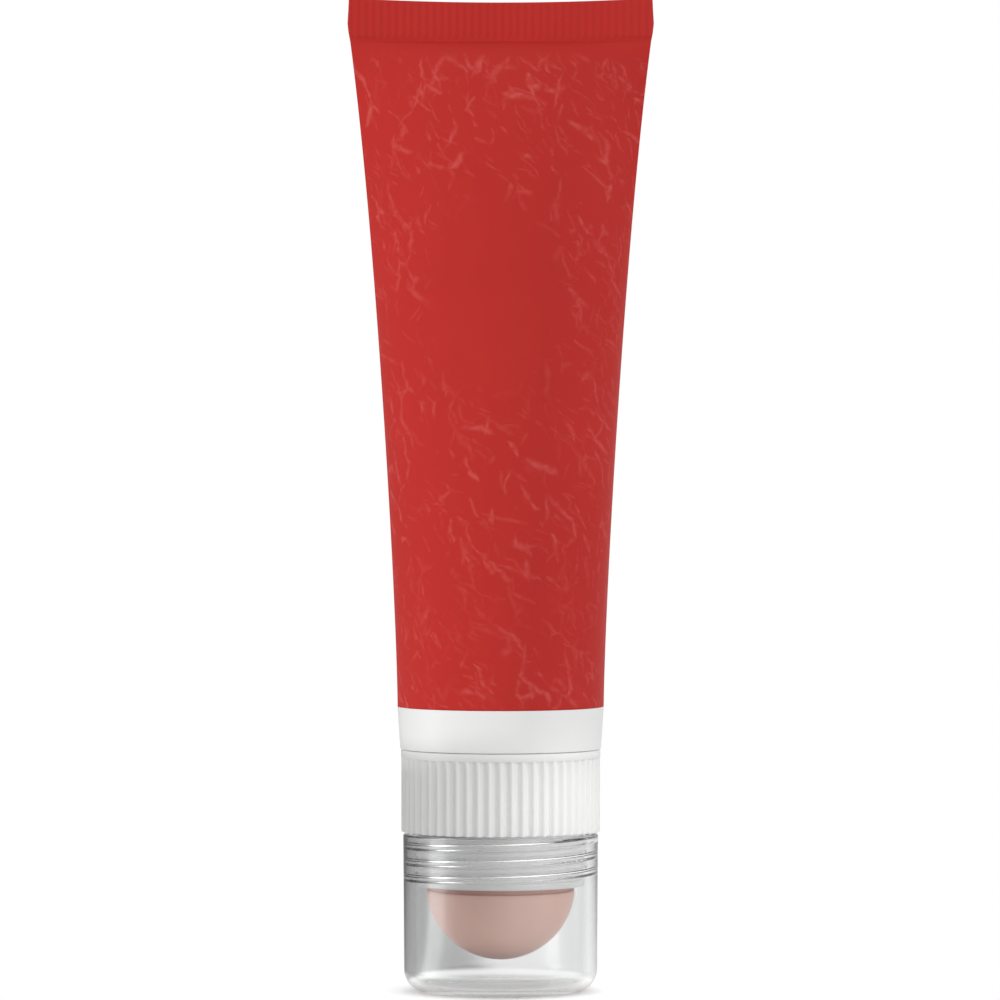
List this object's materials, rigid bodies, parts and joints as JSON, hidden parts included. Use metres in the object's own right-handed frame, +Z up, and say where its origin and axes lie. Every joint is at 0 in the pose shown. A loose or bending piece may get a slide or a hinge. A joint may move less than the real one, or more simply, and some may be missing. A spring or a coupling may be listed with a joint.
{
  "type": "cosmetic tube",
  "caption": "Squeeze tube with a crimped end seal, standing on a clear screw cap over a twist-up stick of balm, with a ribbed collar that unscrews.",
  "frame": {"origin": "centre of the clear cap's underside, on the tube's axis", "axes": "+Z up the tube's axis to the end seal, +X along the end seal, +Y away from the front face"},
  "size_m": [0.0446, 0.03, 0.1444],
  "materials": {
    "printed_sleeve": "satin red print on soft plastic",
    "white_plastic": "smooth moulded",
    "cream": "soft cream",
    "liner_foam": "closed-cell foam",
    "inner_plastic": "smooth moulded",
    "balm": "satin, waxy",
    "clear_plastic": "clear polished"
  },
  "bodies": {
    "tube": {"tube_sleeve": "printed_sleeve", "tube_head": "white_plastic", "cream_fill": "cream"},
    "liner": {"seal_liner": "liner_foam"},
    "screw_cap": {"grip_collar": "white_plastic", "lift_screw": "inner_plastic"},
    "barrel": {"balm_barrel": "inner_plastic"},
    "balm": {"balm_carrier": "inner_plastic", "lip_balm": "balm"},
    "cap": {"clear_cap": "clear_plastic"}
  },
  "joints": [
    {"name": "collar_lowering", "type": "slide", "parent": "tube", "child": "liner", "axis": [0, 0, -1], "range_m": [0, 0.0075]},
    {"name": "collar_unscrewing", "type": "hinge", "parent": "liner", "child": "screw_cap", "pos_m": [0, 0, 0.0284], "axis": [0, 0, -1], "range_deg": [0, 900]},
    {"name": "barrel_turning", "type": "hinge", "parent": "screw_cap", "child": "barrel", "pos_m": [0, 0, 0.0155], "axis": [0, 0, -1], "range_deg": [-180, 225]},
    {"name": "balm_rising", "type": "slide", "parent": "barrel", "child": "balm", "axis": [0, 0, -1], "range_m": [-0.002, 0.0025]},
    {"name": "clear_cap_removing", "type": "slide", "parent": "barrel", "child": "cap", "axis": [0, 0, -1], "range_m": [0, 0.024]}
  ],
  "couplings": [
    {"joint": "collar_lowering", "follows": "collar_unscrewing", "m_per_rad": 0.00047746},
    {"joint": "balm_rising", "follows": "barrel_turning", "m_per_rad": 0.00063662}
  ]
}
